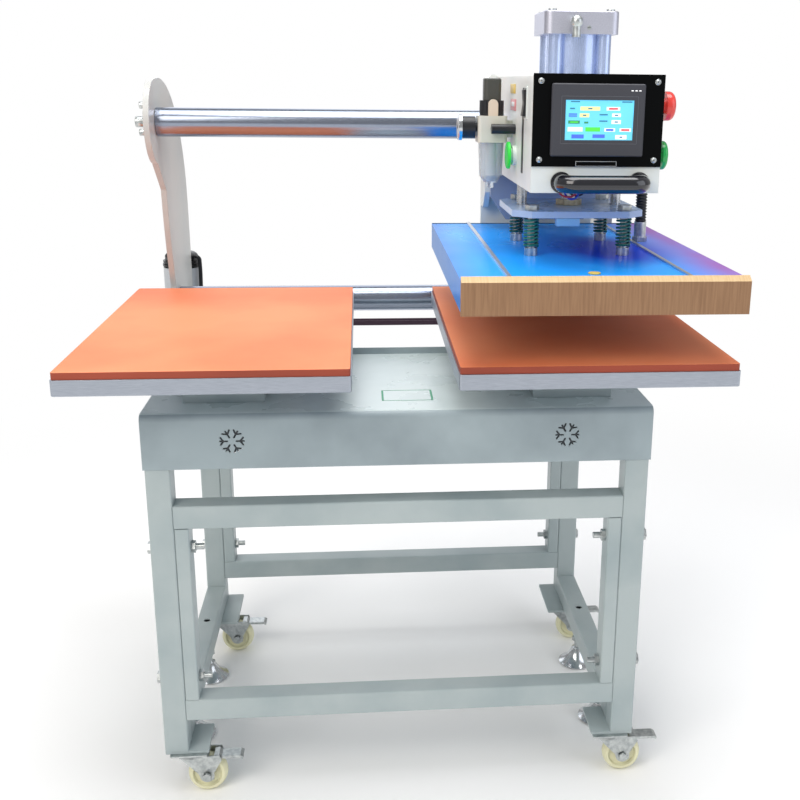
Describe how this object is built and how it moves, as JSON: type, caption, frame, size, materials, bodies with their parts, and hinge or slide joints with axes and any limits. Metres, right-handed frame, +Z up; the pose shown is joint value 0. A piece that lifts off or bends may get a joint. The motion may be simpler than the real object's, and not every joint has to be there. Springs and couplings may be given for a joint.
{
  "type": "pneumatic heat press",
  "caption": "Pneumatic heat press on a wheeled stand, with two padded platens and a sliding head that carries a press cylinder, a touch screen and a sprung heat platen",
  "frame": {"origin": "on the floor, under the middle of the machine's width and depth", "axes": "X runs to the operator's right along the guide bars, Y runs away from the operator to the rear, Z is up"},
  "size_m": [0.954, 0.913, 1.252],
  "materials": {
    "frame_paint": "satin",
    "white_paint": "satin",
    "slate_paint": "satin",
    "black_metal": "gloss",
    "pad_silicone": "matte",
    "black_rubber": "matte",
    "aluminium": "brushed",
    "chrome": "polished",
    "steel": "brushed",
    "zinc": "satin",
    "spring_green": "satin",
    "blue_film": "gloss",
    "black_plastic": "satin",
    "grey_plastic": "satin",
    "clear_bowl": "gloss",
    "cream_nylon": "satin",
    "red_plastic": "gloss",
    "green_plastic": "gloss"
  },
  "bodies": {
    "frame": {"side_frame_left": "frame_paint", "side_frame_right": "frame_paint", "front_frame": "frame_paint", "rear_frame": "frame_paint", "stand_hardware": "zinc", "table_box": "frame_paint", "pedestals": "frame_paint", "platen_left": "aluminium", "platen_right": "aluminium", "pad_left": "pad_silicone", "pad_right": "pad_silicone", "post_left": "frame_paint", "post_right": "frame_paint", "guide_bar_upper": "chrome", "guide_bar_lower": "chrome", "drive_motor": "black_metal", "motor_cable": "black_rubber", "drive_belt": "black_rubber"},
    "carriage": {"carriage": "slate_paint", "bushes": "steel", "cylinder": "aluminium", "head_housing": "white_paint", "front_panel": "black_metal", "touch_screen": "black_plastic", "handle": "black_metal", "regulator_body": "grey_plastic", "regulator_bowl": "clear_bowl", "pressure_gauge": "black_plastic", "fittings": "black_plastic", "conduit": "black_rubber"},
    "press": {"press_rods": "steel", "spring_plate": "slate_paint", "springs": "spring_green"},
    "heat_platen": {"heat_block": "aluminium", "heat_cover": "blue_film", "spring_studs": "zinc", "conduit_gland": "zinc"},
    "stop_button": {"stop_button": "red_plastic"},
    "start_button_right": {"start_button_right": "green_plastic"},
    "start_button_left": {"start_button_left": "green_plastic"},
    "rocker_switch": {"rocker_switch": "black_plastic"},
    "regulator_knob": {"regulator_knob": "black_plastic"},
    "drive_pulley": {"drive_pulley": "aluminium"},
    "idler_pulley": {"idler_pulley": "aluminium"},
    "caster_front_left": {"caster_fork_front_left": "zinc"},
    "wheel_front_left": {"caster_wheel_front_left": "cream_nylon"},
    "pedal_front_left": {"caster_pedal_front_left": "zinc"},
    "caster_front_right": {"caster_fork_front_right": "zinc"},
    "wheel_front_right": {"caster_wheel_front_right": "cream_nylon"},
    "pedal_front_right": {"caster_pedal_front_right": "zinc"},
    "caster_rear_left": {"caster_fork_rear_left": "zinc"},
    "wheel_rear_left": {"caster_wheel_rear_left": "cream_nylon"},
    "pedal_rear_left": {"caster_pedal_rear_left": "zinc"},
    "caster_rear_right": {"caster_fork_rear_right": "zinc"},
    "wheel_rear_right": {"caster_wheel_rear_right": "cream_nylon"},
    "pedal_rear_right": {"caster_pedal_rear_right": "zinc"},
    "foot_front_left": {"levelling_foot_front_left": "chrome"},
    "foot_front_right": {"levelling_foot_front_right": "chrome"},
    "foot_rear_left": {"levelling_foot_rear_left": "chrome"},
    "foot_rear_right": {"levelling_foot_rear_right": "chrome"}
  },
  "joints": [
    {"name": "carriage_slide", "type": "slide", "parent": "frame", "child": "carriage", "axis": [1, 0, 0], "range_m": [-0.548, 0]},
    {"name": "press_stroke", "type": "slide", "parent": "carriage", "child": "press", "axis": [0, 0, 1], "range_m": [-0.0737, 0], "deforming": ["conduit"]},
    {"name": "platen_float", "type": "slide", "parent": "press", "child": "heat_platen", "axis": [0, 0, 1], "range_m": [0, 0.006], "stiffness_N_per_m": 12000, "springref_m": -0.003, "deforming": ["springs"]},
    {"name": "stop_button_push", "type": "slide", "parent": "carriage", "child": "stop_button", "axis": [-1, 0, 0], "range_m": [0, 0.005], "stiffness_N_per_m": 500, "springref_m": -0.001},
    {"name": "start_button_right_push", "type": "slide", "parent": "carriage", "child": "start_button_right", "axis": [-1, 0, 0], "range_m": [0, 0.003], "stiffness_N_per_m": 500, "springref_m": -0.001},
    {"name": "start_button_left_push", "type": "slide", "parent": "carriage", "child": "start_button_left", "axis": [1, 0, 0], "range_m": [0, 0.003], "stiffness_N_per_m": 500, "springref_m": -0.001},
    {"name": "rocker_switch_tip", "type": "hinge", "parent": "carriage", "child": "rocker_switch", "pos_m": [0.181, -0.2885, 1.12], "axis": [0, 1, 0], "range_deg": [-12, 0]},
    {"name": "regulator_knob_turn", "type": "hinge", "parent": "carriage", "child": "regulator_knob", "pos_m": [0.148, -0.1465, 1.13], "axis": [0, 0, 1], "range_deg": [-270, 270]},
    {"name": "drive_pulley_turn", "type": "hinge", "parent": "frame", "child": "drive_pulley", "pos_m": [-0.436, 0.4155, 0.643], "axis": [0, 0, 1], "range_deg": [-2730, 10]},
    {"name": "idler_pulley_turn", "type": "hinge", "parent": "frame", "child": "idler_pulley", "pos_m": [0.436, 0.4155, 0.643], "axis": [0, 0, 1], "range_deg": [-2730, 10]},
    {"name": "caster_front_left_swivel", "type": "hinge", "parent": "frame", "child": "caster_front_left", "pos_m": [-0.352, -0.2815, 0.07], "axis": [0, 0, 1], "continuous": true},
    {"name": "wheel_front_left_roll", "type": "hinge", "parent": "caster_front_left", "child": "wheel_front_left", "pos_m": [-0.326, -0.2815, 0.0325], "axis": [0, 1, 0], "continuous": true},
    {"name": "pedal_front_left_tip", "type": "hinge", "parent": "caster_front_left", "child": "pedal_front_left", "pos_m": [-0.308, -0.2815, 0.064], "axis": [0, 1, 0], "range_deg": [0, 10]},
    {"name": "caster_front_right_swivel", "type": "hinge", "parent": "frame", "child": "caster_front_right", "pos_m": [0.352, -0.2815, 0.07], "axis": [0, 0, 1], "continuous": true},
    {"name": "wheel_front_right_roll", "type": "hinge", "parent": "caster_front_right", "child": "wheel_front_right", "pos_m": [0.378, -0.2815, 0.0325], "axis": [0, 1, 0], "continuous": true},
    {"name": "pedal_front_right_tip", "type": "hinge", "parent": "caster_front_right", "child": "pedal_front_right", "pos_m": [0.396, -0.2815, 0.064], "axis": [0, 1, 0], "range_deg": [0, 10]},
    {"name": "caster_rear_left_swivel", "type": "hinge", "parent": "frame", "child": "caster_rear_left", "pos_m": [-0.352, 0.1695, 0.07], "axis": [0, 0, 1], "continuous": true},
    {"name": "wheel_rear_left_roll", "type": "hinge", "parent": "caster_rear_left", "child": "wheel_rear_left", "pos_m": [-0.326, 0.1695, 0.0325], "axis": [0, 1, 0], "continuous": true},
    {"name": "pedal_rear_left_tip", "type": "hinge", "parent": "caster_rear_left", "child": "pedal_rear_left", "pos_m": [-0.308, 0.1695, 0.064], "axis": [0, 1, 0], "range_deg": [0, 10]},
    {"name": "caster_rear_right_swivel", "type": "hinge", "parent": "frame", "child": "caster_rear_right", "pos_m": [0.352, 0.1695, 0.07], "axis": [0, 0, 1], "continuous": true},
    {"name": "wheel_rear_right_roll", "type": "hinge", "parent": "caster_rear_right", "child": "wheel_rear_right", "pos_m": [0.378, 0.1695, 0.0325], "axis": [0, 1, 0], "continuous": true},
    {"name": "pedal_rear_right_tip", "type": "hinge", "parent": "caster_rear_right", "child": "pedal_rear_right", "pos_m": [0.396, 0.1695, 0.064], "axis": [0, 1, 0], "range_deg": [0, 10]},
    {"name": "foot_front_left_screw", "type": "slide", "parent": "frame", "child": "foot_front_left", "axis": [0, 0, 1], "range_m": [-0.006, 0.02]},
    {"name": "foot_front_right_screw", "type": "slide", "parent": "frame", "child": "foot_front_right", "axis": [0, 0, 1], "range_m": [-0.006, 0.02]},
    {"name": "foot_rear_left_screw", "type": "slide", "parent": "frame", "child": "foot_rear_left", "axis": [0, 0, 1], "range_m": [-0.006, 0.02]},
    {"name": "foot_rear_right_screw", "type": "slide", "parent": "frame", "child": "foot_rear_right", "axis": [0, 0, 1], "range_m": [-0.006, 0.02]}
  ],
  "couplings": [
    {"joint": "drive_pulley_turn", "follows": "carriage_slide", "rad_per_m": 86.58},
    {"joint": "idler_pulley_turn", "follows": "carriage_slide", "rad_per_m": 86.58}
  ]
}
